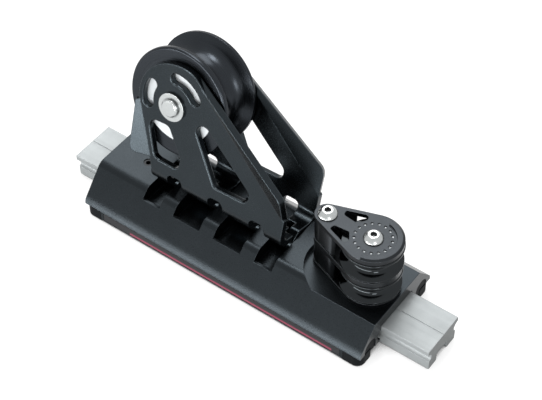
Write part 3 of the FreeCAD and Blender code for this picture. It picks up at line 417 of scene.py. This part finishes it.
# The lighter edges set below are painted highlights.
looks = {
    "track": metal("silver_track", (0.30, 0.32, 0.325), roughness=0.48, metallic=0.4,
                   grain="drawn", edge_highlight_gain=1.3, edge_highlight_share=0.4, spread=0.2,
                   cut_ends=(0.15, 0.16, 0.16)),
    "car_anodised": metal("dark_car", DARK_CAR, roughness=0.29, edge_highlight_gain=3.2, rolled=True),
    "cheek_anodised": metal("dark_cheeks", (0.028, 0.034, 0.038), roughness=0.24,
                            edge_highlight_gain=3.0, edge_radius=0.8 * MM, edge_highlight_share=0.7),
    "sheave_anodised": metal("dark_sheave", (0.030, 0.034, 0.039), roughness=0.26,
                             grain="turned", place=MAIN_AXLE, depth=0.003 * MM),
    "block_anodised": metal("dark_block", (0.029, 0.032, 0.035), roughness=0.30,
                            edge_highlight_gain=3.4, dimple_floor=BLOCK_TOP - DIMPLE_DEPTH),
    "control_anodised": metal("dark_control", (0.027, 0.030, 0.032), roughness=0.10,
                              grain="turned", place=BLOCK_AXLE, edge_highlight_gain=2.0,
                              depth=0.004 * MM),
    "black_steel": metal("black_steel", (0.020, 0.021, 0.022), roughness=0.3),
    # Stainless takes painted shade in its sockets and recesses.
    "stainless": metal("stainless", (0.47, 0.49, 0.49), roughness=0.22, edge_highlight_gain=1.2,
                       edge_highlight_share=0.3, spread=0.04, painted_shade_reach=3.0 * MM),
    "bush_alloy": metal("bush", (0.60, 0.61, 0.62), roughness=0.3, grain="turned",
                        place=MAIN_AXLE, edge_highlight_gain=1.2),
    "ring_plastic": plastic("pale_ring", (0.72, 0.76, 0.78), roughness=0.4),
    "black_plastic": plastic("black_plastic", (0.004, 0.005, 0.006), roughness=0.5,
                             specular=0.05),
    "ball_plastic": plastic("ball_plastic", (0.26, 0.20, 0.085), roughness=0.3, coat=0.3),
    "label_film": label_film("label_film", roughness=0.32, specular=0.3, depth=0.01 * MM),
}
slots = {part["node"]: part["material_slot"] for part in frame["record"]["subparts"]}
for name, node in nodes.items():
    node.data.materials.clear()
    node.data.materials.append(looks[slots[name]])


# The two walls that close the control block round its tail, between the plates

def add_object(name, data):
    item = bpy.data.objects.new(name, data)
    bpy.context.scene.collection.objects.link(item)
    return item


def wall_line():
    """The wall's outer line and the way out of it, from one side round the tail."""
    tail = Vector((TAIL_AXIS, 0.0))
    spread = math.asin((PLATE_RADIUS - TAIL_RADIUS) / (BLOCK_AXIS - TAIL_AXIS))
    line = []
    for step in range(WALL_STEPS + 1):
        angle = math.pi / 2 + spread + (math.pi - 2 * spread) * step / WALL_STEPS
        outward = Vector((math.cos(angle), math.sin(angle)))
        line.append((tail + outward * WALL_RADIUS, outward))
    for end, outward in ((0, line[0][1]), (len(line), line[-1][1])):
        along = Vector((abs(outward.y), -outward.x * math.copysign(1.0, outward.y)))
        line.insert(end, (tail + outward * WALL_RADIUS + along * WALL_REACH, outward))
    return line


def make_tail_wall(name, low, high):
    """A thin closed wall on the plates' outline, between two heights."""
    corners = []
    for point, outward in wall_line():
        inner = point - outward * WALL_THICKNESS
        corners += [(point.x, point.y, low), (point.x, point.y, high),
                    (inner.x, inner.y, high), (inner.x, inner.y, low)]
    last = len(corners) - 4
    faces = [(0, 1, 2, 3)]
    for start in range(0, last, 4):
        for side in range(4):
            other = (side + 1) % 4
            faces.append((start + side, start + 4 + side, start + 4 + other, start + other))
    faces.append((last + 3, last + 2, last + 1, last))
    mesh = bpy.data.meshes.new(name)
    mesh.from_pydata(corners, [], faces)
    mesh.validate()
    wall = add_object(name, mesh)
    mesh.materials.append(looks["block_anodised"])
    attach(wall, "car")


lower_space = RECESS_FLOOR + BASE_PLATE
upper_space = lower_space + SHEAVE_SPACE + MIDDLE_PLATE
make_tail_wall("tail_wall_lower", lower_space, lower_space + SHEAVE_SPACE)
make_tail_wall("tail_wall_upper", upper_space, upper_space + SHEAVE_SPACE)


# Floor, light and camera

FLOOR_HALF = 4.0
FLOOR_DROP = 0.2 * MM
FLOOR_GREY = (0.30, 0.30, 0.30, 1.0)
FLOOR_GLOW = 0.80
COVER_REACH = 12.0 * MM
WORLD_WHITE = (1.0, 1.0, 1.0, 1.0)
WORLD_LIGHT = 0.62
LIT_CENTRE = Vector((0.0, 0.0, 0.05))

# Name: direction in degrees round and up, distance, width, height, and power in watts
LAMPS = {
    "back_top": (216.0, 48.0, 1.3, 0.9, 0.7, 8.5),
    "overhead": (-100.0, 79.0, 1.2, 0.36, 0.36, 6.5),
    "right": (53.0, 24.0, 1.2, 0.30, 0.30, 2.6),
    "front_low": (-2.0, 2.2, 1.3, 1.9, 0.24, 20.0),
}

CAMERA_AZIMUTH, CAMERA_ELEVATION = 36.0, 48.0
CAMERA_TARGET = Vector((10.855, 0.0, 45.0)) * MM
CAMERA_DISTANCE = 768.38 * MM
CAMERA_LENS = 103.15
SENSOR_WIDTH = 36.0
NEAREST_SEEN = 0.01


def direction(azimuth, elevation):
    """The way out from the part, in degrees round from the near side and up."""
    azimuth, elevation = math.radians(azimuth), math.radians(elevation)
    return Vector((math.sin(azimuth) * math.cos(elevation),
                   -math.cos(azimuth) * math.cos(elevation), math.sin(elevation)))


def aimed(item, target, away, distance):
    """Puts a lamp or a camera at a distance from its target and turns it to face that."""
    item.location = target + away * distance
    item.rotation_euler = away.to_track_quat("Z", "Y").to_euler()


def make_floor():
    """A pale floor just below the part; it glows where it is looked at, and its glow is dimmed
    where the part covers it, a painted shadow.
    """
    mesh = bpy.data.meshes.new("floor")
    mesh.from_pydata([(-FLOOR_HALF, -FLOOR_HALF, -FLOOR_DROP),
                      (FLOOR_HALF, -FLOOR_HALF, -FLOOR_DROP),
                      (FLOOR_HALF, FLOOR_HALF, -FLOOR_DROP),
                      (-FLOOR_HALF, FLOOR_HALF, -FLOOR_DROP)], [], [(0, 1, 2, 3)])
    floor = add_object("floor", mesh)
    material = bpy.data.materials.new("pale_floor")
    material.use_nodes = True
    wiring = Wiring(material.node_tree)
    wiring.tree.nodes.clear()
    output = wiring.add("ShaderNodeOutputMaterial")
    diffuse = wiring.add("ShaderNodeBsdfDiffuse")
    diffuse.inputs["Color"].default_value = FLOOR_GREY
    # Painted shadow: the glow fades where the part covers the floor closely, as inside the
    # track's channel.
    strength = wiring.ranged(wiring.uncovered(COVER_REACH), *FLOOR_OPEN, 0.0, FLOOR_GLOW)
    glow = wiring.add("ShaderNodeEmission")
    wiring.link(wiring.math("MULTIPLY", wiring.looked_at(), strength), glow.inputs["Strength"])
    both = wiring.add("ShaderNodeAddShader")
    wiring.link(diffuse.outputs["BSDF"], both.inputs[0])
    wiring.link(glow.outputs["Emission"], both.inputs[1])
    wiring.link(both.outputs["Shader"], output.inputs["Surface"])
    mesh.materials.append(material)


def make_world():
    """A white backdrop that lights the part more softly than it looks."""
    world = bpy.data.worlds.new("studio")
    bpy.context.scene.world = world
    world.use_nodes = True
    wiring = Wiring(world.node_tree)
    background = wiring.tree.nodes["Background"]
    background.inputs["Color"].default_value = WORLD_WHITE
    wiring.link(wiring.ranged(wiring.looked_at(), 0.0, 1.0, WORLD_LIGHT, 1.0),
                background.inputs["Strength"])


def make_lamp(name, azimuth, elevation, distance, width, height, watts):
    """A soft panel that faces the middle of the part from a given direction."""
    lamp = bpy.data.lights.new(name, "AREA")
    lamp.shape = "RECTANGLE"
    lamp.size = width
    lamp.size_y = height
    lamp.energy = watts
    aimed(add_object(name, lamp), LIT_CENTRE, direction(azimuth, elevation), distance)


def make_camera():
    data = bpy.data.cameras.new("camera")
    data.sensor_width = SENSOR_WIDTH
    data.lens = CAMERA_LENS
    data.clip_start = NEAREST_SEEN
    camera = add_object("camera", data)
    aimed(camera, CAMERA_TARGET, direction(CAMERA_AZIMUTH, CAMERA_ELEVATION), CAMERA_DISTANCE)
    bpy.context.scene.camera = camera


make_floor()
make_world()
for name, settings in LAMPS.items():
    make_lamp(name, *settings)
make_camera()

bpy.context.scene.view_settings.view_transform = "Standard"
bpy.context.view_layer.update()
